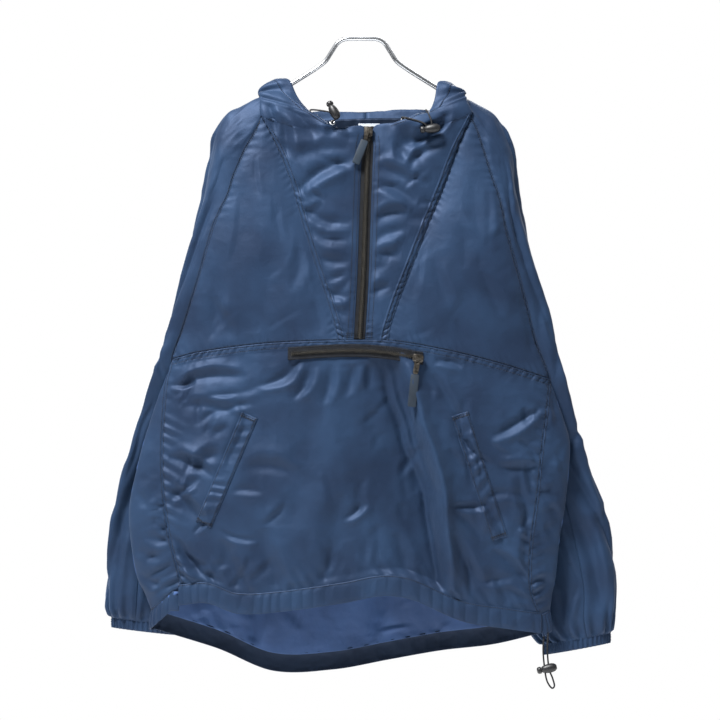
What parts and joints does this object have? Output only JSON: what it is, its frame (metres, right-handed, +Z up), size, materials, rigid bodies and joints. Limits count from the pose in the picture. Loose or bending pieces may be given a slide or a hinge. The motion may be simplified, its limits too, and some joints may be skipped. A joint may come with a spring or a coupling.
{
  "type": "anorak pullover on a wire hanger",
  "caption": "Hooded anorak pullover with a half front zip, pocket zip and welt pockets, hanging flat on a bent wire hanger.",
  "frame": {"origin": "top of the hanger's hump, on its upper side", "axes": "+Z up, -Y out of the garment's front, +X to the wearer's left"},
  "size_m": [0.6665, 0.14, 0.8463],
  "materials": {
    "nylon": "satin",
    "steel_rod": "polished",
    "zip_tape": "matt",
    "black_plastic": "satin",
    "bronze": "satin",
    "slate_rubber": "matt",
    "eyelet_steel": "satin",
    "cord": "matt",
    "label_tape": "matt"
  },
  "bodies": {
    "body": {"front_body": "nylon", "front_hem_casing": "nylon", "back_body": "nylon", "back_hem_casing": "nylon", "chest_left": "nylon", "chest_right": "nylon", "sleeve_left": "nylon", "sleeve_right": "nylon", "cuff_left": "nylon", "cuff_right": "nylon", "hood_left": "nylon", "hood_right": "nylon", "welt_right": "nylon", "welt_left": "nylon", "hanger": "steel_rod", "front_zip_tape": "zip_tape", "pocket_zip_tape": "zip_tape", "front_zip_teeth": "black_plastic", "pocket_zip_teeth": "black_plastic", "front_zip_slider": "bronze", "pocket_zip_slider": "bronze", "eyelet_right_upper": "eyelet_steel", "eyelet_right_lower": "eyelet_steel", "eyelet_left_upper": "eyelet_steel", "eyelet_left_lower": "eyelet_steel", "hood_cord_right": "cord", "hood_cord_left": "cord", "hem_cord": "cord", "hood_cord_right_lock": "black_plastic", "hood_cord_left_lock": "black_plastic", "hem_cord_lock": "black_plastic", "neck_label": "label_tape"},
    "front_pull": {"front_zip_link": "bronze", "front_zip_tab": "slate_rubber"},
    "pocket_pull": {"pocket_zip_link": "bronze", "pocket_zip_tab": "slate_rubber"}
  },
  "joints": [
    {"name": "front_pull_swing", "type": "hinge", "parent": "body", "child": "front_pull", "pos_m": [0.009, -0.0387, -0.124], "axis": [-1, 0, 0], "range_deg": [0, 100]},
    {"name": "pocket_pull_swing", "type": "hinge", "parent": "body", "child": "pocket_pull", "pos_m": [0.073, -0.0623, -0.42], "axis": [-1, 0, 0], "range_deg": [0, 100]}
  ]
}
